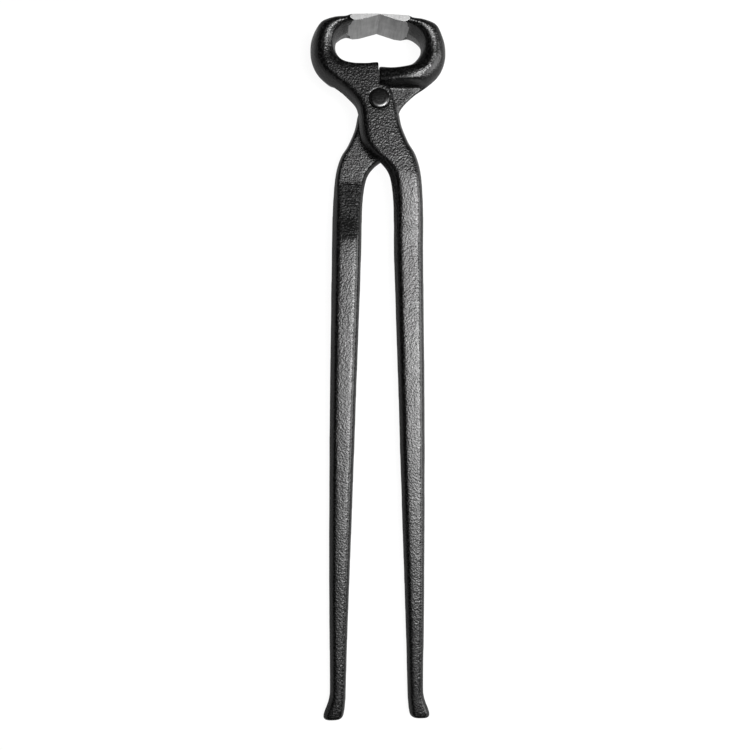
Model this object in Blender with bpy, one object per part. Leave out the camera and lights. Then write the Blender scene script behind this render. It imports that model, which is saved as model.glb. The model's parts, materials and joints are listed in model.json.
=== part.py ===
"""Farrier's nippers: two drop-forged levers crossed in a half-lap joint on one rivet.

The tool lies flat.  +Y runs along it towards the jaws, +X is across it and +Z is up,
through the joint.  The levers are one forging used twice: the rear lever is the front
lever turned half a turn about the tool's long axis.  Metres, jaws closed.
"""
import math

import bmesh
import bpy

MM = 0.001

# Driving dimensions
OVERALL_LENGTH = 381 * MM
JAW_REACH = 44.2 * MM          # rivet axis to the cutting edges
BLADE_WIDTH = 28 * MM          # length of the cutting edges, along Z
PLATE_DEPTH = 11 * MM          # half-lap plate, lap plane to outer face
REIN_DEPTH = 6 * MM            # half the thickness of a rein below the joint
CLEARANCE = 0.3 * MM           # between any two pieces

# Joint
BOSS_RADIUS = 8.5 * MM         # rounded end of the plate, about the rivet
BOSS_ARC_END = 10              # degrees above +X where that rounding meets the neck
BOSS_ARC_STEPS = 10
SHOULDER_HEIGHT = 9.6 * MM     # from the rivet axis up to the lap's shoulder
SHOULDER_LEAN = 1.7 * MM       # how far the shoulder's outer edge is drafted back
RAMP_START = -42.5 * MM        # where the lap face begins to slope, below the rivet
RAMP_END = -75.5 * MM          # where it meets the rein's full thickness
SHANK_RADIUS = 4.7 * MM
RIVET_HEAD_RADIUS = 5.4 * MM
RIVET_HEAD_HEIGHT = 1.3 * MM
RIVET_EDGE = 0.5 * MM          # chamfer round each rivet head

# Mesh resolution
WALL_POINTS = (0.0, 0.45, 0.9)  # heights up a side wall, as parts of the depth
FACE_STEPS = 4                  # strips across a flat face
SPAN_STEPS = 3                  # rings between two stations of a lever
ROUND_SEGMENTS = 64

REACH = 60 * MM                # far enough for a cutter to leave the forging
WINDOW_MIDDLE = 30 * MM        # above the rivet, between the plate and the blades

# Stations down the front lever, in millimetres from the rivet axis: the outer edge
# and the inner edge in plan, the height of the parting line and half the depth about
# it, the outer and inner draft of the side walls, and how round the upper and lower
# halves are (0 flat-faced, 1 elliptical).
BLADE = (
    ((-0.2, 44.2), (-0.2, 43.8), 0, 14.0, (0, 0), (0, 0)),
    ((-5.0, 44.1), (-5.0, 42.4), 0, 14.0, (0, 0), (0, 0)),
    ((-10.0, 43.9), (-10.0, 40.8), 0, 14.0, (0, 0), (0, 0)),
    ((-15.8, 43.6), (-15.6, 40.1), 0, 14.0, (0, 0), (0, 0)),
)
ARM = (
    ((-24.4, 43.4), (-19.8, 37.9), 0, 13.8, (0.6, 1.8), (0.25, 0.25)),
    ((-31.4, 41.1), (-22.6, 35.1), 0, 13.2, (0.8, 2.2), (0.45, 0.5)),
    ((-35.8, 35.4), (-23.7, 32.1), 0, 12.0, (1.5, 2.5), (0.75, 0.8)),
    ((-37.2, 29.1), (-23.7, 28.7), 0, 11.0, (2.0, 2.5), (1, 1)),
    ((-36.2, 22.3), (-22.2, 25.3), 0, 10.8, (2.5, 2.5), (0.8, 1)),
    ((-32.8, 15.9), (-18.8, 21.7), 0, 11.0, (2.8, 1.5), (0.4, 1)),
)
PLATE = (
    ((-26.8, 10.5), (-13.5, 19.7), 0, 11.0, (3.0, 0.8), (0.12, 0.7)),
    ((-20.0, 5.9), (-7.0, 19.4), 0.4, 10.6, (2.8, 0.6), (0.04, 0.8)),
    ((-14.7, 1.1), (3.0, 19.4), 1.2, 9.8, (2.7, 0.6), (0, 0.8)),
    ((-12.0, -2.5), (5.5, 10.5), 2.4, 8.6, (2.6, 1.0), (0, 0)),
    ((-10.9, -6.1), (8.4, 1.4), 3.4, 7.6, (2.6, 1.4), (0, 0)),
    ((-10.4, -10.3), (10.6, -5.3), 4.2, 6.8, (2.6, 2.2), (0, 0)),
)
NECK = (
    ((-9.9, -16.5), (12.3, -13.3), 4.6, 6.4, (2.8, 2.3), (0.05, 0)),
    ((-8.2, -23.1), (16.0, -22.0), 4.6, 6.4, (3.0, 2.4), (0.05, 0)),
    ((-3.6, -29.3), (19.6, -27.8), 4.6, 6.4, (3.6, 2.6), (0.05, 0)),
    ((2.2, -34.1), (22.1, -35.0), 4.6, 6.4, (3.9, 2.6), (0.05, 0)),
    ((6.2, -40.1), (23.4, -43.0), 4.5, 6.4, (3.6, 2.5), (0.05, 0)),
    ((8.2, -50.5), (24.1, -52.5), 3.7, 6.1, (3.1, 2.4), (0.05, 0)),
)
REIN = (
    ((8.9, -63.5), (24.6, -63.5), 1.9, 6.0, (2.9, 2.3), (0.05, 0.05)),
    ((9.2, -77.5), (24.8, -77.5), 0, 6.0, (2.8, 2.3), (0.05, 0.05)),
    ((10.2, -110.5), (25.2, -110.5), 0, 5.7, (2.7, 2.2), (0.05, 0.05)),
    ((12.1, -165.5), (25.8, -165.5), 0, 5.3, (2.6, 2.1), (0.07, 0.07)),
    ((13.9, -220.5), (26.0, -220.5), 0, 4.9, (2.4, 2.0), (0.1, 0.1)),
    ((15.9, -275.5), (25.8, -275.5), 0, 4.6, (2.2, 1.9), (0.15, 0.15)),
    ((17.1, -316.5), (25.5, -316.5), 0, 4.4, (2.0, 1.8), (0.2, 0.2)),
    ((17.4, -326.0), (26.0, -325.5), 0, 4.4, (2.0, 1.8), (0.25, 0.25)),
    ((18.1, -332.5), (28.2, -332.1), 0, 4.3, (1.9, 1.8), (0.3, 0.3)),
    ((19.2, -335.5), (28.7, -335.4), 0, 4.0, (1.6, 1.6), (0.5, 0.5)),
    ((20.8, -336.4), (27.6, -336.8), 0, 2.8, (1.0, 1.0), (0.8, 0.8)),
)


def clear_scene():
    for item in list(bpy.data.objects):
        bpy.data.objects.remove(item, do_unlink=True)


def painted(name, colour, roughness, metallic):
    material = bpy.data.materials.new(name)
    material.use_nodes = True
    shader = material.node_tree.nodes["Principled BSDF"]
    shader.inputs["Base Color"].default_value = (*colour, 1)
    shader.inputs["Roughness"].default_value = roughness
    shader.inputs["Metallic"].default_value = metallic
    return material


def flatten(station):
    """One station as a plain list of numbers, so that stations can be blended."""
    outer, inner, parting, depth, draft, roundness = station
    return [*outer, *inner, parting, depth, *draft, *roundness]


def blend(before, start, end, after, t):
    """Catmull-Rom curve from start to end, for every number of a station at once."""
    numbers = []
    for a, b, c, d in zip(before, start, end, after):
        bend = (2 * a - 5 * b + 4 * c - d) * t * t
        twist = (3 * b - 3 * c + d - a) * t ** 3
        numbers.append(0.5 * (2 * b + (c - a) * t + bend + twist))
    return numbers


def lever_rows():
    """Every ring of a lever as numbers: the blade ground straight, the rest blended."""
    rows = [flatten(station) for station in BLADE[-1:] + ARM + PLATE + NECK + REIN]
    run = [flatten(station) for station in BLADE[:-1]]
    for index in range(len(rows) - 1):
        before = rows[max(index - 1, 0)]
        after = rows[min(index + 2, len(rows) - 1)]
        for step in range(SPAN_STEPS):
            t = step / SPAN_STEPS
            run.append(blend(before, rows[index], rows[index + 1], after, t))
    run.append(rows[-1])
    return run


def flat_profile(outer_draft, inner_draft, half_width):
    """Half a flat-faced section, from the inner edge over the face to the outer edge.

    Points are (across, up), both from -1 or 0 to 1 of the section's half sizes.
    """
    inner = inner_draft / half_width
    outer = outer_draft / half_width
    points = [(1 - inner * height, height) for height in WALL_POINTS]
    for step in range(FACE_STEPS + 1):
        share = step / FACE_STEPS
        across = (1 - inner) * (1 - share) - (1 - outer) * share
        points.append((0.98 * across, 1.0))
    points += [(outer * height - 1, height) for height in reversed(WALL_POINTS[1:])]
    return points


def section(numbers):
    """One closed ring round the lever, as world-sized points."""
    ax, ay, bx, by, parting, depth, *drafts, round_top, round_bottom = numbers
    half_width = math.hypot(bx - ax, by - ay) / 2
    draft_room = 0.9 * half_width
    outer_draft, inner_draft = (min(draft, draft_room) for draft in drafts)
    profile = flat_profile(outer_draft, inner_draft, half_width)
    count = len(profile)
    ring = []
    for sign, roundness in ((1, round_top), (-1, round_bottom)):
        half = []
        for index, (across, up) in enumerate(profile):
            angle = math.pi * index / count
            mixed_across = across + roundness * (math.cos(angle) - across)
            mixed_up = up + roundness * (math.sin(angle) - up)
            half.append((mixed_across, sign * mixed_up))
        if sign < 0:
            half = [(-1.0, 0.0)] + half[:0:-1]
        ring += half
    points = []
    for across, up in ring:
        x = (ax + bx) / 2 + across * (bx - ax) / 2
        y = (ay + by) / 2 + across * (by - ay) / 2
        points.append((x * MM, y * MM, (parting + up * depth) * MM))
    return points


def loft(rings):
    """A closed mesh through rings of equal length, capped at both ends."""
    shape = bmesh.new()
    loops = [[shape.verts.new(point) for point in ring] for ring in rings]
    count = len(loops[0])
    for lower, upper in zip(loops, loops[1:]):
        for index in range(count):
            following = (index + 1) % count
            shape.faces.new(
                (lower[index], lower[following], upper[following], upper[index])
            )
    shape.faces.new(loops[0])
    shape.faces.new(list(reversed(loops[-1])))
    bmesh.ops.recalc_face_normals(shape, faces=shape.faces)
    return shape


def prism(outline, low, high, axis):
    """A flat outline pushed from low to high along X or Z."""
    shape = bmesh.new()
    ends = []
    for level in (low, high):
        if axis == "X":
            points = [(level, first, second) for first, second in outline]
        else:
            points = [(first, second, level) for first, second in outline]
        ends.append([shape.verts.new(point) for point in points])
    count = len(outline)
    for index in range(count):
        following = (index + 1) % count
        shape.faces.new(
            (ends[0][index], ends[0][following], ends[1][following], ends[1][index])
        )
    shape.faces.new(ends[0])
    shape.faces.new(list(reversed(ends[1])))
    bmesh.ops.recalc_face_normals(shape, faces=shape.faces)
    return shape


def add_object(name, shape, material=None):
    mesh = bpy.data.meshes.new(name)
    shape.to_mesh(mesh)
    shape.free()
    item = bpy.data.objects.new(name, mesh)
    bpy.context.collection.objects.link(item)
    if material:
        mesh.materials.append(material)
    return item


def add_cutter(name, shape, owner):
    cutter = add_object(name, shape)
    cutter.parent = owner
    cutter.hide_render = True
    cutter.display_type = "WIRE"
    cut = owner.modifiers.new(name, "BOOLEAN")
    cut.operation = "DIFFERENCE"
    cut.solver = "EXACT"
    cut.object = cutter


def disc(radius):
    return [
        (
            radius * math.cos(2 * math.pi * index / ROUND_SEGMENTS),
            radius * math.sin(2 * math.pi * index / ROUND_SEGMENTS),
        )
        for index in range(ROUND_SEGMENTS)
    ]


def lap_profile():
    """Side view of what the lap takes out of the underside: a step and a long ramp."""
    lap_plane = CLEARANCE / 2
    slope = (lap_plane + REIN_DEPTH) / (RAMP_START - RAMP_END)
    beyond = RAMP_END - 10 * MM
    lean = SHOULDER_LEAN * REACH / PLATE_DEPTH
    return [
        (SHOULDER_HEIGHT, lap_plane),
        (SHOULDER_HEIGHT + lean, lap_plane - REACH),
        (beyond, lap_plane - REACH),
        (beyond, lap_plane + slope * (beyond - RAMP_START)),
        (RAMP_START, lap_plane),
    ]


def jaw_stop_outline():
    """Plan of what lies past the plate: the other jaw beside its square corner, and
    the room that its rounded boss needs to turn in."""
    left = -CLEARANCE
    start = math.acos(left / BOSS_RADIUS)
    end = math.radians(BOSS_ARC_END)
    outline = []
    for step in range(BOSS_ARC_STEPS + 1):
        angle = start + (end - start) * step / BOSS_ARC_STEPS
        outline.append((BOSS_RADIUS * math.cos(angle), BOSS_RADIUS * math.sin(angle)))
    outline.append((REACH, outline[-1][1]))
    return outline + [(REACH, WINDOW_MIDDLE), (left, WINDOW_MIDDLE)]


def add_lever(name, material, joint):
    """A whole forging: blade, arm, half-lap plate, neck and rein."""
    rings = [section(numbers) for numbers in lever_rows()]
    lever = add_object(name, loft(rings), material)
    lever.parent = joint
    hole_radius = SHANK_RADIUS + CLEARANCE
    add_cutter(name + "_lap", prism(lap_profile(), -REACH, REACH, "X"), lever)
    add_cutter(name + "_stop", prism(jaw_stop_outline(), -REACH, REACH, "Z"), lever)
    add_cutter(name + "_hole", prism(disc(hole_radius), -REACH, REACH, "Z"), lever)
    return lever


def add_rivet(material, joint):
    """Shank with a flat chamfered head peened over each plate."""
    seat = PLATE_DEPTH + CLEARANCE
    top = seat + RIVET_HEAD_HEIGHT
    levels = (
        (RIVET_HEAD_RADIUS - RIVET_EDGE, -top),
        (RIVET_HEAD_RADIUS, -top + RIVET_EDGE),
        (RIVET_HEAD_RADIUS, -seat),
        (SHANK_RADIUS, -seat),
        (SHANK_RADIUS, seat),
        (RIVET_HEAD_RADIUS, seat),
        (RIVET_HEAD_RADIUS, top - RIVET_EDGE),
        (RIVET_HEAD_RADIUS - RIVET_EDGE, top),
    )
    rings = [[(x, y, z) for x, y in disc(radius)] for radius, z in levels]
    rivet = add_object("pivot_rivet", loft(rings), material)
    rivet.parent = joint
    rivet.data.shade_smooth()
    rivet.data.set_sharp_from_angle(angle=math.radians(35))


def add_joint():
    """The empty on the rivet axis that all three pieces hang from."""
    joint = bpy.data.objects.new("joint", None)
    joint.location = (0, OVERALL_LENGTH / 2 - JAW_REACH, BLADE_WIDTH / 2)
    bpy.context.collection.objects.link(joint)
    return joint


def main():
    clear_scene()
    black = painted("black_forging", (0.022, 0.022, 0.023), 0.42, 0.35)
    dark = painted("rivet_steel", (0.03, 0.03, 0.032), 0.28, 0.8)
    joint = add_joint()
    add_lever("front_lever", black, joint)
    rear = add_lever("rear_lever", black, joint)
    rear.rotation_euler = (0, math.pi, 0)
    add_rivet(dark, joint)


main()
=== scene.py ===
"""Farrier's nippers: black painted forgings with ground cutting edges, on a pale floor."""

import json
import math

import bmesh
import bpy
import numpy as np
from mathutils import Matrix, Vector, noise
from mathutils.bvhtree import BVHTree


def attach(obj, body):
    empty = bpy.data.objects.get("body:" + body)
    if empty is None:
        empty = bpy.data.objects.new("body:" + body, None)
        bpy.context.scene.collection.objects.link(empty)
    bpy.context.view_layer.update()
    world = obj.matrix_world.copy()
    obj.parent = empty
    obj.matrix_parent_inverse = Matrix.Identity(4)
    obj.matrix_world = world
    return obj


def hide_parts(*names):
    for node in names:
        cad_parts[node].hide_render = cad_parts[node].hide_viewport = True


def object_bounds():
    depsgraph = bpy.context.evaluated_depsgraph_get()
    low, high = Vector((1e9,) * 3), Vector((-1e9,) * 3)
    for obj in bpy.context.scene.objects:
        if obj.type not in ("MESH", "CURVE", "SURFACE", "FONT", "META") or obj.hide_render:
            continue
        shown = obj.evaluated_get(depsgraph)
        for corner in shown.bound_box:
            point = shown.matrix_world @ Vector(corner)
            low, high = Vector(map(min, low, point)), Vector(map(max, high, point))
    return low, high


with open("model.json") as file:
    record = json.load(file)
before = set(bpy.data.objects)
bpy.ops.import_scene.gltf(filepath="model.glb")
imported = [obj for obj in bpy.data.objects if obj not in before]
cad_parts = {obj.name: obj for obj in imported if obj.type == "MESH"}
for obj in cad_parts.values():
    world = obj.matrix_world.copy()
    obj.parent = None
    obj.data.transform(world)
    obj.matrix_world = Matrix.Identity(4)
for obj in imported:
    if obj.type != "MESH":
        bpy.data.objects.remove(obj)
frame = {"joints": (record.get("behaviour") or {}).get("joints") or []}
cad_low, cad_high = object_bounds()

MM = 0.001

# The hinge's own frame: every shape below is measured in millimetres from the rivet.
HINGE = next(j for j in frame["joints"] if j["name"] == "jaw_hinge")
PIVOT = Vector(HINGE["pos_m"])

# Forging and grinding
VOXEL = 0.5                    # grid on which the forging is rounded
ROUNDING_PASSES = 9
ROUNDING_WEIGHT = 0.5
LAP = 0.15                     # each lever stops this far short of the middle plane
SHOULDER_Y = 9.6
SHOULDER_LEAN = 1.7
PLATE_DEPTH = 11.0
RAMP_START = -42.5
RAMP_END = -75.5
RAMP_RUNOUT = 10.0             # the ramp's cutter goes on this far past the ramp
REIN_DEPTH = 6.0
BOSS_RADIUS = 8.5
BOSS_ARC_END = 10.0            # degrees
BOSS_STEPS = 20
STOP_TOP = 30.0
GAP = 0.3
SHANK_RADIUS = 4.7
BLADE_HALF = 14.0
EDGE_X = -0.03                 # the cutting edge is ground to here, just short of the middle
GRIND_END_X = -16.4            # the ground window side of the blade ends here
GRIND_SIDE = 20.0              # half widths of the cutters that stand for the grinding
GRIND_REACH = 30.0
CRISP_ANGLE = math.radians(4)
FAR = 60.0

# Unevenness of the forged skin: (wavelength, depth, share of it taken on average)
UNEVENNESS = ((19.0, 0.10, 0.6), (5.5, 0.035, 0.6), (2.1, 0.018, 0.5))
SEED_SHIFT = Vector((37.0, 11.0, 5.0))

# A point this far inside the dies' skin was laid bare by the lap cut
LAP_MARK_FROM = 0.35
LAP_MARK_SPAN = 0.3

# Rivet
HEAD_SEAT = 11.3
HEAD_RADIUS = 5.4
HEAD_TOP = 12.6
HEAD_CHAMFER = 0.1
SHANK_RING = 4.0
ROUND_STEPS = 96

# Stations down the front lever: outer edge, inner edge, height of the parting line,
# half depth, (outer, inner) draft, (top, bottom) roundness, (outer, inner) corner radius
STATIONS = (
    ((0.8, 45.5), (0.8, 42.3), 0, 15.4, (0, 0), (0, 0), (0.1, 0.1)),
    ((-5.0, 45.4), (-5.0, 41.0), 0, 15.4, (0, 0), (0, 0), (0.1, 0.1)),
    ((-10.0, 45.1), (-10.0, 39.6), 0, 15.4, (0, 0), (0, 0), (0.1, 0.1)),
    ((-13.0, 44.6), (-13.0, 39.9), 0, 14.7, (0, 0), (0.02, 0.02), (0.3, 0.5)),
    ((-16.4, 43.9), (-16.2, 39.9), 0, 14.2, (0, 0.6), (0.04, 0.04), (0.6, 1.6)),
    ((-18.4, 43.75), (-17.3, 39.2), 0, 13.6, (0.4, 1.8), (0.25, 0.25), (2.2, 3.5)),
    ((-24.8, 43.5), (-19.8, 37.9), 0, 13.6, (0.8, 1.8), (0.2, 0.2), (5.5, 3.0)),
    ((-32.1, 41.7), (-22.6, 35.1), 0, 13.1, (2.2, 1.8), (0.3, 0.35), (7.0, 3.0)),
    ((-35.7, 35.5), (-23.7, 32.1), 0, 12.1, (3.8, 1.8), (0.4, 0.45), (7.0, 3.0)),
    ((-36.8, 29.1), (-23.7, 28.7), 0, 11.4, (4.2, 1.8), (0.4, 0.6), (6.5, 3.0)),
    ((-36.0, 22.3), (-22.2, 25.3), 0, 11.0, (3.0, 2.0), (0.5, 0.9), (5.5, 3.0)),
    ((-32.8, 15.9), (-18.8, 21.7), 0, 11.0, (2.6, 1.5), (0.35, 1), (3.8, 2.2)),
    ((-26.9, 10.4), (-13.5, 19.7), 0, 11.0, (2.6, 0.8), (0.12, 0.7), (3.8, 1.4)),
    ((-20.1, 5.7), (-7.0, 19.4), 0.4, 10.6, (2.3, 0.6), (0.04, 0.8), (3.6, 0.9)),
    ((-14.8, 0.9), (3.0, 19.4), 1.2, 9.8, (2.2, 0.6), (0, 0.8), (3.6, 0.7)),
    ((-12.1, -2.6), (5.5, 10.5), 2.4, 8.6, (2.1, 1.0), (0, 0), (3.6, 0.8)),
    ((-11.0, -6.1), (8.4, 1.4), 3.4, 7.6, (2.1, 1.4), (0, 0), (3.6, 1.2)),
    ((-10.4, -10.3), (10.6, -5.3), 4.2, 6.8, (2.1, 2.0), (0, 0), (3.6, 1.8)),
    ((-9.9, -16.5), (12.3, -13.3), 4.6, 6.4, (2.3, 2.0), (0.05, 0), (3.7, 2.2)),
    ((-8.2, -23.1), (16.0, -22.0), 4.6, 6.4, (2.5, 2.1), (0.05, 0), (3.8, 2.4)),
    ((-3.6, -29.3), (19.6, -27.8), 4.6, 6.4, (3.0, 2.3), (0.05, 0), (3.8, 2.6)),
    ((2.2, -34.1), (22.1, -35.0), 4.6, 6.4, (3.3, 2.3), (0.05, 0), (3.8, 2.8)),
    ((6.2, -40.1), (23.4, -43.0), 4.5, 6.4, (3.1, 2.2), (0.05, 0), (3.6, 2.8)),
    ((8.2, -50.5), (24.1, -52.5), 3.7, 6.1, (2.7, 2.1), (0.05, 0), (3.3, 2.8)),
    ((8.9, -63.5), (24.6, -63.5), 1.9, 6.0, (2.5, 2.0), (0.05, 0.05), (3.1, 2.8)),
    ((9.2, -77.5), (24.8, -77.5), 0, 6.0, (2.4, 2.0), (0.05, 0.05), (3.0, 2.8)),
    ((10.2, -110.5), (25.2, -110.5), 0, 5.7, (2.3, 1.9), (0.05, 0.05), (3.0, 2.8)),
    ((12.1, -165.5), (25.8, -165.5), 0, 5.3, (2.2, 1.9), (0.07, 0.07), (2.8, 2.6)),
    ((13.9, -220.5), (26.0, -220.5), 0, 4.9, (2.1, 1.8), (0.1, 0.1), (2.6, 2.4)),
    ((15.9, -275.5), (25.8, -275.5), 0, 4.6, (2.0, 1.7), (0.15, 0.15), (2.3, 2.1)),
    ((17.1, -316.5), (25.4, -316.5), 0, 4.4, (1.8, 1.7), (0.2, 0.2), (1.9, 1.8)),
    ((17.4, -326.0), (25.9, -325.5), 0, 4.4, (1.8, 1.7), (0.25, 0.25), (1.7, 1.6)),
    ((18.1, -332.7), (28.3, -332.3), 0, 4.3, (1.8, 1.7), (0.3, 0.3), (1.5, 1.5)),
    ((19.0, -335.7), (29.0, -335.6), 0, 4.0, (1.5, 1.5), (0.5, 0.5), (1.3, 1.3)),
    ((20.4, -336.6), (27.9, -336.9), 0, 2.8, (1.0, 1.0), (0.8, 0.8), (1.0, 1.0)),
)
STRAIGHT_SPANS = 4             # the blade's stations are joined straight, not curved
RING_SPACING = 1.0
HALF_STEPS = 44                # points round half a section
FLASH_HALF = 0.45              # the trimmed flash reaches this far either side of parting
MOST_FLASH = 0.2               # and no further than this share of the half depth
MOST_DRAFT = 0.8               # share of the half width that a draft may take
ARC_STEPS = 5
EDGE_SAMPLES = 14
INNER_SHARE = 0.4              # most of a face's width that its inner fillet may take
OUTER_SHARE = 0.57
SHARP = 0.05                   # smallest fillet
SPARE = 0.45                   # lofted wider by this, since the rounding takes stock off
SPARE_FROM = 5                 # the first station that is lofted wider
LEAN_FROM = -25.0              # below here the lower die's walls lean unevenly
LEAN_SPAN = 30.0
LEAN_OUTER = -0.2              # shares added to the lower half's drafts
LEAN_INNER = 0.4

# Studio, in metres
JAW_REST_Y = 0.186             # the floor passes just under the jaws here
TOE_REST_Y = -0.189            # and just under both toes here
FLOOR_AT_JAWS = -0.0005
FLOOR_AT_TOES = 0.0097
FLOOR_HALF = 6.0
FLOOR_SEEN = 0.94              # the floor's glow to the camera
FLOOR_GIVEN = 0.38             # and to everything else
HORIZON = 0.75                 # the world's brightness low down, to the tool
CEILING = 0.01                 # and above
HORIZON_FADE = (0.04, 0.16)
SOFTBOXES = (                  # name, place, what it faces, radius, radiance
    ("octabox", (0.30, 0.01, 1.0), (0.30, 0.01, 0.0), 0.30, 16.5),
    ("octabox_core", (0.40, 0.01, 0.97), (0.40, 0.01, 0.0), 0.08, 75.0),
    ("ceiling", (0.2, -0.12, 1.1), (0.2, -0.12, 0.0), 0.54, 1.75),
    ("side_fill", (0.95, 0.0, 0.45), (0.0, 0.0, 0.05), 0.45, 7.0),
)
CAMERA_OFFSET = Vector((-0.0331, -0.0023, 0.490))
CAMERA_LEAN = math.atan2(0.0318, 0.490)
CAMERA_ROLL = 0.0023
CAMERA_LENS = 42.96


def flatten(station):
    """A station as one row of twelve numbers."""
    outer, inner, parting, depth, draft, roundness, corner = station
    return np.array([*outer, *inner, parting, depth, *draft, *roundness, *corner], float)


def blend(before, start, end, after, t):
    """Catmull-Rom curve from start to end."""
    bend = (2 * before - 5 * start + 4 * end - after) * t * t
    twist = (3 * start - 3 * end + after - before) * t ** 3
    return 0.5 * (2 * start + (end - before) * t + bend + twist)


def lever_rows():
    """Sections every millimetre or so, on a smooth curve through the stations."""
    rows = [flatten(station) for station in STATIONS]
    for row in rows[SPARE_FROM:]:
        outward = row[:2] - row[2:4]
        outward *= SPARE / np.hypot(*outward)
        row[:2] += outward
        row[2:4] -= outward
    run = []
    for index in range(len(rows) - 1):
        start, end = rows[index], rows[index + 1]
        before = rows[max(index - 1, 0)]
        after = rows[min(index + 2, len(rows) - 1)]
        if index == STRAIGHT_SPANS:
            before = start
        span = max(np.hypot(*(end - start)[:2]), np.hypot(*(end - start)[2:4]))
        steps = max(1, math.ceil(span / RING_SPACING))
        for step in range(steps):
            t = step / steps
            if index < STRAIGHT_SPANS:
                run.append(start + (end - start) * t)
            else:
                run.append(blend(before, start, end, after, t))
    run.append(rows[-1])
    return run


def rounded_corner(start, corner, end, radius, share):
    """Points of a fillet that takes no more than a share of either side of the corner."""
    start, corner, end = (np.array(p, float) for p in (start, corner, end))
    to_start, to_end = start - corner, end - corner
    a, b = to_start / np.linalg.norm(to_start), to_end / np.linalg.norm(to_end)
    half = math.acos(max(-1.0, min(1.0, float(a @ b)))) / 2
    reach = radius / math.tan(half)
    limit = share * min(np.linalg.norm(to_start), np.linalg.norm(to_end))
    if reach > limit:
        reach = limit
    radius = reach * math.tan(half)
    centre = corner + (a + b) / np.linalg.norm(a + b) * radius / math.sin(half)
    first = corner + a * reach - centre
    last = corner + b * reach - centre
    points = []
    for step in range(ARC_STEPS + 1):
        t = step / ARC_STEPS
        mixed = first * (1 - t) + last * t
        points.append(centre + mixed / np.linalg.norm(mixed) * radius)
    return points


def half_radii(half_width, depth, outer, inner, outer_corner, inner_corner, angles):
    """How far half a flat-faced section reaches at each angle, where 1 is its half size."""
    flash = min(FLASH_HALF, MOST_FLASH * depth)
    foot_in, foot_out = (half_width, flash), (-half_width, flash)
    top_in, top_out = (half_width - inner, depth), (outer - half_width, depth)
    outline = [np.array((half_width, 0.0)), np.array(foot_in)]
    outline += rounded_corner(foot_in, top_in, top_out, max(inner_corner, SHARP), INNER_SHARE)
    outline += rounded_corner(top_in, top_out, foot_out, max(outer_corner, SHARP), OUTER_SHARE)
    outline += [np.array(foot_out), np.array((-half_width, 0.0))]
    across, up = [], []
    for first, last in zip(outline, outline[1:]):
        for step in range(EDGE_SAMPLES):
            point = first + (last - first) * step / EDGE_SAMPLES
            across.append(point[0] / half_width)
            up.append(point[1] / depth)
    across.append(-1.0)
    up.append(0.0)
    across, up = np.array(across), np.array(up)
    return np.interp(angles, np.arctan2(up, across), np.hypot(across, up))


def section(numbers):
    """One closed ring round the lever in millimetres, and each point's height."""
    ax, ay, bx, by, parting, depth, outer, inner, top, bottom, corner_out, corner_in = numbers
    half_width = math.hypot(bx - ax, by - ay) / 2
    room = MOST_DRAFT * half_width
    angles = np.linspace(0, math.pi, HALF_STEPS + 1)
    points = []
    lean = min(1.0, max(0.0, (LEAN_FROM - ay) / LEAN_SPAN))
    upper = (outer, inner)
    lower = (outer * (1 + LEAN_OUTER * lean), inner * (1 + LEAN_INNER * lean))
    for sign, roundness, drafts in ((1, top, upper), (-1, bottom, lower)):
        flat = half_radii(half_width, depth, min(drafts[0], room), min(drafts[1], room),
                          corner_out, corner_in, angles)
        radii = flat * (1 - roundness) + roundness
        across, up = radii * np.cos(angles), sign * radii * np.sin(angles)
        half = np.stack([across, up], axis=1)
        points.append(half[:-1] if sign > 0 else half[:0:-1])
    ring = np.concatenate(points)
    x = (ax + bx) / 2 + ring[:, 0] * (bx - ax) / 2
    y = (ay + by) / 2 + ring[:, 0] * (by - ay) / 2
    z = parting + ring[:, 1] * depth
    return np.stack([x, y, z], axis=1), ring[:, 1] * depth


def loft(rings):
    """Vertices and faces of a closed skin through rings of equal length."""
    count = len(rings[0])
    points = np.concatenate(rings)
    faces = []
    for row in range(len(rings) - 1):
        low = row * count
        for index in range(count):
            following = (index + 1) % count
            faces.append((low + index, low + following,
                          low + count + following, low + count + index))
    faces.append(tuple(reversed(range(count))))
    last = (len(rings) - 1) * count
    faces.append(tuple(range(last, last + count)))
    return points, faces


def mesh_object(name, points, faces):
    mesh = bpy.data.meshes.new(name)
    mesh.from_pydata([tuple(p) for p in points], [], faces)
    shape = bmesh.new()
    shape.from_mesh(mesh)
    bmesh.ops.recalc_face_normals(shape, faces=shape.faces)
    shape.to_mesh(mesh)
    shape.free()
    item = bpy.data.objects.new(name, mesh)
    bpy.context.scene.collection.objects.link(item)
    return item


def prism(name, outline, low, high, axis):
    """A flat outline pushed from low to high along X or Z."""
    points = []
    for level in (low, high):
        for first, second in outline:
            points.append((level, first, second) if axis == "X" else (first, second, level))
    count = len(outline)
    faces = [(i, (i + 1) % count, count + (i + 1) % count, count + i) for i in range(count)]
    faces.append(tuple(reversed(range(count))))
    faces.append(tuple(range(count, 2 * count)))
    return mesh_object(name, points, faces)


def applied(item):
    """Replaces an object's mesh by what its modifiers make of it."""
    bpy.context.view_layer.update()
    graph = bpy.context.evaluated_depsgraph_get()
    mesh = bpy.data.meshes.new_from_object(item.evaluated_get(graph))
    item.modifiers.clear()
    old = item.data
    item.data = mesh
    bpy.data.meshes.remove(old)


def cut(item, cutter, solver="MANIFOLD", finish=None):
    """Takes the cutter out of the object; new faces take the finish's material."""
    modifier = item.modifiers.new("cut", "BOOLEAN")
    modifier.operation = "DIFFERENCE"
    modifier.solver = solver
    if solver == "EXACT":
        modifier.material_mode = "TRANSFER"
        cutter.data.materials.append(finish)
    modifier.object = cutter
    applied(item)
    bpy.data.objects.remove(cutter)


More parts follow.
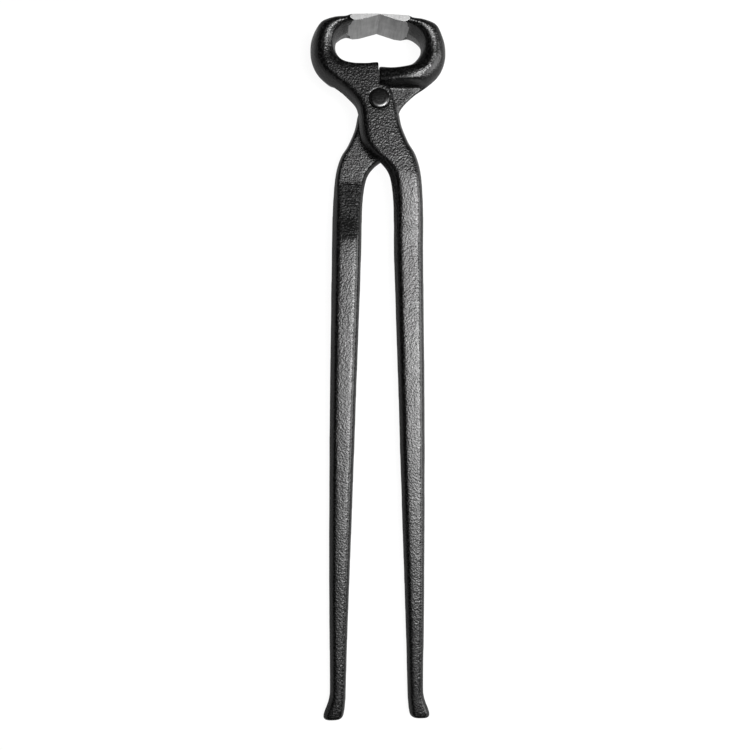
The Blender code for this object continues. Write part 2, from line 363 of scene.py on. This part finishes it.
def lap_profile():
    """Side view of what is cut away for the other lever: shoulder, flat and ramp."""
    slope = (LAP + REIN_DEPTH) / (RAMP_START - RAMP_END)
    beyond = RAMP_END - RAMP_RUNOUT
    lean = SHOULDER_LEAN * FAR / PLATE_DEPTH
    return [
        (SHOULDER_Y, LAP),
        (SHOULDER_Y + lean, LAP - FAR),
        (beyond, LAP - FAR),
        (beyond, LAP + slope * (beyond - RAMP_START)),
        (RAMP_START, LAP),
    ]


def stop_outline():
    """Plan of the room that the other jaw and this plate's rounded boss need."""
    left = -GAP
    start = math.acos(left / BOSS_RADIUS)
    end = math.radians(BOSS_ARC_END)
    outline = []
    for step in range(BOSS_STEPS + 1):
        angle = start + (end - start) * step / BOSS_STEPS
        outline.append((BOSS_RADIUS * math.cos(angle), BOSS_RADIUS * math.sin(angle)))
    outline.append((FAR, outline[-1][1]))
    return outline + [(FAR, STOP_TOP), (left, STOP_TOP)]


def circle(radius):
    turns = [2 * math.pi * i / ROUND_STEPS for i in range(ROUND_STEPS)]
    return [(radius * math.cos(turn), radius * math.sin(turn)) for turn in turns]


def points_of(mesh):
    points = np.empty(len(mesh.vertices) * 3, np.float64)
    mesh.vertices.foreach_get("co", points)
    return points.reshape(-1, 3)


def set_points(mesh, points):
    mesh.vertices.foreach_set("co", points.astype(np.float32).ravel())
    mesh.update()


def relaxed(points, edges):
    """Plain smoothing: it rounds every edge a little and leaves flat faces alone."""
    count = len(points)
    degree = np.bincount(edges.ravel(), minlength=count)[:, None]
    for _ in range(ROUNDING_PASSES):
        total = np.empty_like(points)
        for axis in range(3):
            total[:, axis] = np.bincount(
                edges[:, 0], weights=points[edges[:, 1], axis], minlength=count
            ) + np.bincount(edges[:, 1], weights=points[edges[:, 0], axis], minlength=count)
        points = points + ROUNDING_WEIGHT * (total / degree - points)
    return points


def forged_blank():
    """The lever as it leaves the dies and the lap is cut, before the edges are ground."""
    rings = [section(numbers) for numbers in lever_rows()]
    points, faces = loft([ring for ring, _ in rings])
    skin = BVHTree.FromPolygons([Vector(p) for p in points], faces)
    heights = np.concatenate([height for _, height in rings])
    lever = mesh_object("blank", points, faces)
    cut(lever, prism("lap", lap_profile(), -FAR, FAR, "X"))
    cut(lever, prism("stop", stop_outline(), -FAR, FAR, "Z"))
    cut(lever, prism("hole", circle(SHANK_RADIUS + GAP), -FAR, FAR, "Z"))
    remesh = lever.modifiers.new("remesh", "REMESH")
    remesh.mode = "VOXEL"
    remesh.voxel_size = VOXEL
    applied(lever)
    mesh = lever.data
    edges = np.empty(len(mesh.edges) * 2, np.int32)
    mesh.edges.foreach_get("vertices", edges)
    set_points(mesh, relaxed(points_of(mesh), edges.reshape(-1, 2)))
    return lever, (skin, points, faces, heights)


def add_unevenness(mesh, seed):
    """Pushes the skin in unevenly by about 0.1 mm, as scale and worn dies leave it."""
    points = points_of(mesh)
    normals = np.empty(len(points) * 3, np.float32)
    mesh.vertices.foreach_get("normal", normals)
    normals = normals.reshape(-1, 3)
    depth = np.empty(len(points))
    for index, point in enumerate(points):
        place = Vector(point) + SEED_SHIFT * seed
        depth[index] = sum(deep * (noise.noise(place / length) - always)
                           for length, deep, always in UNEVENNESS)
    set_points(mesh, points + normals * np.minimum(depth, 0)[:, None])


def grind(lever):
    """Grinds the blade's two ends, its back, its window side and its edge flat."""
    left = GRIND_END_X
    window = [(left, 40.1), (left + 0.1, 30.0), (3.0, 30.0), (3.0, 44.89), (-0.2, 43.8),
              (-5.0, 42.35), (-9.8, 40.9)]
    back = [(left - 0.7, 43.62), (-10.0, 43.9), (-5.0, 44.1), (3.0, 44.2), (3.0, 60.0),
            (left - 1.0, 60.0)]
    cut(lever, prism("window", window, -GRIND_SIDE, GRIND_SIDE, "Z"), "EXACT", BEVEL)
    cut(lever, prism("back", back, -GRIND_SIDE, GRIND_SIDE, "Z"), "EXACT", BEVEL)
    for low_z, high_z in ((BLADE_HALF, GRIND_REACH), (-GRIND_REACH, -BLADE_HALF)):
        end = [(-22.0, 30.0), (3.0, 30.0), (3.0, 60.0), (-22.0, 60.0)]
        cut(lever, prism("end", end, low_z, high_z, "Z"), "EXACT", GROUND)
    edge = [(EDGE_X, 30.0), (5.0, 30.0), (5.0, 60.0), (EDGE_X, 60.0)]
    cut(lever, prism("edge", edge, -GRIND_REACH, GRIND_REACH, "Z"), "EXACT", BEVEL)


def mark(mesh, original):
    """Stores each point's height from the parting line, and where the lap was cut."""
    skin, skin_points, faces, heights = original
    points = points_of(mesh)
    side = np.empty(len(points), np.float32)
    lap = np.empty(len(points), np.float32)
    for index, point in enumerate(points):
        near, _, face, distance = skin.find_nearest(Vector(point))
        corners = faces[face][:4]
        weights = [1 / (1e-6 + (near - Vector(skin_points[c])).length_squared) for c in corners]
        side[index] = sum(w * heights[c] for w, c in zip(weights, corners)) / sum(weights)
        lap[index] = min(1.0, max(0.0, (distance - LAP_MARK_FROM) / LAP_MARK_SPAN))
    for name, values in (("side", side), ("lap", lap)):
        layer = mesh.attributes.new(name, "FLOAT", "POINT")
        layer.data.foreach_set("value", values)


def finish_shading(mesh):
    """Smooth forging, with a crisp line wherever a ground face begins."""
    mesh.shade_smooth()
    shape = bmesh.new()
    shape.from_mesh(mesh)
    shape.edges.ensure_lookup_table()
    for edge in shape.edges:
        ground = [face.material_index for face in edge.link_faces]
        if len(ground) == 2 and any(ground):
            differs = ground[0] != ground[1]
            edge.smooth = not (differs or edge.calc_face_angle(0.0) > CRISP_ANGLE)
    shape.to_mesh(mesh)
    shape.free()


def placed(item, name, body, node, turned=False):
    """Brings a finished piece from millimetres about the rivet into the frame."""
    place = Matrix.Translation(PIVOT) @ Matrix.Scale(MM, 4)
    if turned:
        place = place @ Matrix.Rotation(math.pi, 4, "Y")
    item.data.transform(place)
    item.name = item.data.name = name
    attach(item, body)
    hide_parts(node)


class Nodes:
    """Short way to lay out a material's nodes."""

    def __init__(self, name):
        self.material = bpy.data.materials.new(name)
        self.material.use_nodes = True
        self.tree = self.material.node_tree
        self.shader = self.tree.nodes["Principled BSDF"]
        self.object = self.tree.nodes.new("ShaderNodeTexCoord").outputs["Object"]

    def add(self, kind, inputs=None, **settings):
        node = self.tree.nodes.new("ShaderNode" + kind)
        for name, value in settings.items():
            setattr(node, name, value)
        for name, value in (inputs or {}).items():
            self.set(node.inputs[name], value)
        return node

    def set(self, socket, value):
        if isinstance(value, bpy.types.NodeSocket):
            self.tree.links.new(value, socket)
        else:
            socket.default_value = value

    def scaled(self, factors):
        return self.add("Mapping", {"Vector": self.object, "Scale": factors}).outputs[0]

    def noise(self, scale, detail=2.0, roughness=0.5, vector=None):
        return self.add("TexNoise", {"Vector": vector or self.object, "Scale": scale,
                                     "Detail": detail, "Roughness": roughness}).outputs[0]

    def math(self, operation, a, b=0.0):
        node = self.add("Math", operation=operation)
        self.set(node.inputs[0], a)
        self.set(node.inputs[1], b)
        return node.outputs[0]

    def spread(self, value, low, high, to_low=0.0, to_high=1.0, smooth=False):
        node = self.add("MapRange", {"Value": value, "From Min": low, "From Max": high,
                                     "To Min": to_low, "To Max": to_high})
        if smooth:
            node.interpolation_type = "SMOOTHSTEP"
        return node.outputs[0]

    def mix(self, factor, first, second):
        node = self.add("Mix", data_type="RGBA")
        self.set(node.inputs[0], factor)
        self.set(node.inputs[6], first)
        self.set(node.inputs[7], second)
        return node.outputs[2]

    def attribute(self, name):
        return self.add("Attribute", attribute_name=name).outputs["Fac"]

    def bump(self, height, distance):
        return self.add("Bump", {"Height": height, "Distance": distance}).outputs[0]


def grey(value):
    return (value, value, value, 1.0)


def forged_skin(n):
    """Height of the forging's skin: pebbles everywhere, streaks on the lap, the flash line."""
    pebble = n.add("TexVoronoi", {"Vector": n.object, "Scale": 920.0, "Smoothness": 0.35},
                   feature="SMOOTH_F1").outputs["Distance"]
    peel = n.noise(1200.0, 1.5, 0.5)
    fine = n.noise(1700.0, 1.0, 0.5)
    height = n.math("ADD", n.math("MULTIPLY", pebble, 0.7), peel)
    height = n.math("ADD", height, n.math("MULTIPLY", fine, 0.12))
    streaks = n.noise(1.0, 3.0, 0.6, n.scaled((160.0, 1500.0, 600.0)))
    streaks = n.math("MULTIPLY", n.attribute("lap"), n.math("MULTIPLY", streaks, 1.6))
    flash = n.math("ABSOLUTE", n.attribute("side"))
    flash = n.spread(flash, 0.2, 0.7, 1.2, 0.0, smooth=True)
    return n.math("ADD", height, n.math("ADD", streaks, flash))


def forged_paint():
    """Thin black paint over a forged skin: pebbled, with a soft uneven gloss and painted glints
    as lighter specks in its colour.
    """
    n = Nodes("forged_black_paint")
    n.set(n.shader.inputs["Normal"], n.bump(forged_skin(n), 0.00014))
    # Painted glints: lighter specks in the base colour stand in for the tiny glints of the
    # pebbled paint
    glint_speck = n.spread(n.noise(950.0, 2.0, 0.6), 0.5, 0.72, 0.0, 1.0)
    n.set(n.shader.inputs["Base Color"], n.mix(glint_speck, grey(0.0010), grey(0.012)))
    patch = n.noise(90.0, 3.0, 0.6)
    gloss = n.math("ADD", n.math("MULTIPLY", patch, 0.5), n.noise(600.0, 3.0, 0.6))
    n.set(n.shader.inputs["Roughness"], n.spread(gloss, 0.5, 1.0, 0.21, 0.29))
    n.shader.inputs["IOR"].default_value = 1.37
    return n.material


def ground_steel(name, darkest, lightest):
    """Bare steel off the grinding belt, its scratches running along the edge."""
    n = Nodes(name)
    across = n.noise(1.0, 3.0, 0.65, n.scaled((5200.0, 900.0, 260.0)))
    streak = n.noise(1.0, 2.0, 0.5, n.scaled((900.0, 300.0, 70.0)))
    cloud = n.noise(160.0, 3.0, 0.6)
    tone = n.spread(n.math("ADD", streak, n.math("MULTIPLY", cloud, 0.8)), 0.6, 1.2)
    n.set(n.shader.inputs["Base Color"], n.mix(tone, grey(darkest), grey(lightest)))
    n.shader.inputs["Metallic"].default_value = 1.0
    n.set(n.shader.inputs["Roughness"], n.spread(across, 0.3, 0.7, 0.50, 0.60))
    n.set(n.shader.inputs["Normal"], n.bump(across, 0.00002))
    return n.material


def rivet_steel():
    """Dark oil-blacked rivet, smoother than the forgings."""
    n = Nodes("blackened_rivet")
    fine = n.noise(700.0, 3.0, 0.6)
    n.set(n.shader.inputs["Base Color"], n.mix(n.noise(400.0), grey(0.001), grey(0.003)))
    n.shader.inputs["IOR"].default_value = 1.5
    n.set(n.shader.inputs["Roughness"], n.spread(fine, 0.3, 0.7, 0.13, 0.19))
    n.set(n.shader.inputs["Normal"], n.bump(fine, 0.00003))
    return n.material


PAINT = forged_paint()
# One ground steel in two shades: painted shade darkens the end faces and painted light
# brightens the bevels, set by how each face catches the lamps
GROUND = ground_steel("ground_ends", 0.26, 0.35)
BEVEL = ground_steel("ground_bevels", 0.34, 0.52)
RIVET = rivet_steel()


def make_levers():
    """Two forgings from one die, the rear one turned over about the tool's length."""
    blank, original = forged_blank()
    for seed, name, body, turned in ((1, "front", "front_half", False),
                                     (2, "rear", "rear_half", True)):
        lever = blank.copy()
        lever.data = blank.data.copy()
        bpy.context.scene.collection.objects.link(lever)
        lever.data.materials.clear()
        lever.data.materials.append(PAINT)
        lever.data.materials.append(GROUND)
        lever.data.materials.append(BEVEL)
        add_unevenness(lever.data, seed)
        grind(lever)
        mark(lever.data, original)
        finish_shading(lever.data)
        placed(lever, name + "_forging", body, name + "_lever", turned)
    bpy.data.objects.remove(blank)


def lathe(name, profile):
    """Turns a profile of (radius, height) about the rivet's axis."""
    steps = ROUND_STEPS
    points = []
    for radius, height in profile:
        points += [(x, y, height) for x, y in circle(radius)]
    faces = []
    for row in range(len(profile) - 1):
        for index in range(steps):
            following = (index + 1) % steps
            faces.append((row * steps + index, row * steps + following,
                          (row + 1) * steps + following, (row + 1) * steps + index))
    faces.append(tuple(range(steps)))
    faces.append(tuple(range((len(profile) - 1) * steps, len(profile) * steps)))
    return mesh_object(name, points, faces)


def make_rivet():
    """Rivet with two alike heads, each flat on top and rounded at the rim."""
    top = [(0.5, HEAD_TOP), (3.55, HEAD_TOP), (4.0, 12.58), (4.4, 12.53), (4.75, 12.45),
           (5.05, 12.33), (5.27, 12.12), (HEAD_RADIUS, 11.8),
           (HEAD_RADIUS, HEAD_SEAT + HEAD_CHAMFER), (HEAD_RADIUS - HEAD_CHAMFER, HEAD_SEAT)]
    shank = [(SHANK_RADIUS, HEAD_SEAT), (SHANK_RADIUS, SHANK_RING)]
    half = top + shank
    profile = half + [(radius, -height) for radius, height in reversed(half)]
    rivet = lathe("rivet", profile)
    rivet.data.materials.append(RIVET)
    rivet.data.shade_smooth()
    rivet.data.set_sharp_from_angle(angle=math.radians(50))
    placed(rivet, "peened_rivet", "rear_half", "pivot_rivet")


def round_light(name, place, target, radius, radiance):
    """A round softbox; its power is its radiance times pi times its area."""
    light = bpy.data.lights.new(name, "AREA")
    light.shape = "DISK"
    light.size = 2 * radius
    light.energy = radiance * math.pi * math.pi * radius ** 2
    item = bpy.data.objects.new(name, light)
    item.location = place
    item.rotation_euler = (Vector(target) - Vector(place)).to_track_quat("-Z", "Y").to_euler()
    bpy.context.scene.collection.objects.link(item)


def make_floor():
    """Floor just under the jaws and both toes.

    It glows nearly white to the camera and less to everything else, so that the tool
    stands on white while its side walls reflect a greyer floor.
    """
    slope = (FLOOR_AT_TOES - FLOOR_AT_JAWS) / (JAW_REST_Y - TOE_REST_Y)
    corners = [(-FLOOR_HALF, -FLOOR_HALF), (FLOOR_HALF, -FLOOR_HALF),
               (FLOOR_HALF, FLOOR_HALF), (-FLOOR_HALF, FLOOR_HALF)]
    points = [(x, y, FLOOR_AT_JAWS + slope * (JAW_REST_Y - y)) for x, y in corners]
    floor = mesh_object("floor", points, [(0, 1, 2, 3)])
    n = Nodes("pale_floor")
    n.set(n.shader.inputs["Base Color"], n.mix(n.noise(6.0), grey(0.028), grey(0.032)))
    n.shader.inputs["Roughness"].default_value = 0.7
    n.shader.inputs["Emission Color"].default_value = grey(1.0)
    seen = n.add("LightPath").outputs["Is Camera Ray"]
    glow = n.spread(seen, 0.0, 1.0, FLOOR_GIVEN, FLOOR_SEEN)
    n.set(n.shader.inputs["Emission Strength"], glow)
    floor.data.materials.append(n.material)


def make_world():
    """Pale to the camera; to the tool, a pale horizon under a dark room."""
    world = bpy.data.worlds.new("studio")
    bpy.context.scene.world = world
    world.use_nodes = True
    tree = world.node_tree
    coordinate = tree.nodes.new("ShaderNodeTexCoord")
    split = tree.nodes.new("ShaderNodeSeparateXYZ")
    fade = tree.nodes.new("ShaderNodeMapRange")
    fade.interpolation_type = "SMOOTHSTEP"
    fade.inputs["From Min"].default_value = HORIZON_FADE[0]
    fade.inputs["From Max"].default_value = HORIZON_FADE[1]
    fade.inputs["To Min"].default_value = HORIZON
    fade.inputs["To Max"].default_value = CEILING
    paths = tree.nodes.new("ShaderNodeLightPath")
    seen = tree.nodes.new("ShaderNodeMath")
    seen.operation = "MAXIMUM"
    tree.links.new(coordinate.outputs["Generated"], split.inputs[0])
    tree.links.new(split.outputs["Z"], fade.inputs["Value"])
    tree.links.new(fade.outputs[0], seen.inputs[0])
    tree.links.new(paths.outputs["Is Camera Ray"], seen.inputs[1])
    tree.links.new(seen.outputs[0], tree.nodes["Background"].inputs["Color"])


def make_camera():
    """Nearly overhead, a little to the left, looking back at the tool."""
    centre = (cad_low + cad_high) / 2
    data = bpy.data.cameras.new("camera")
    data.sensor_width = 36.0
    data.lens = CAMERA_LENS
    data.clip_start, data.clip_end = 0.01, 50.0
    camera = bpy.data.objects.new("camera", data)
    camera.location = centre + CAMERA_OFFSET
    camera.rotation_euler = (0.0, -CAMERA_LEAN, CAMERA_ROLL)
    bpy.context.scene.collection.objects.link(camera)
    bpy.context.scene.camera = camera


make_levers()
make_rivet()
make_floor()
make_world()
for softbox in SOFTBOXES:
    round_light(*softbox)
make_camera()
bpy.context.scene.view_settings.view_transform = "Standard"
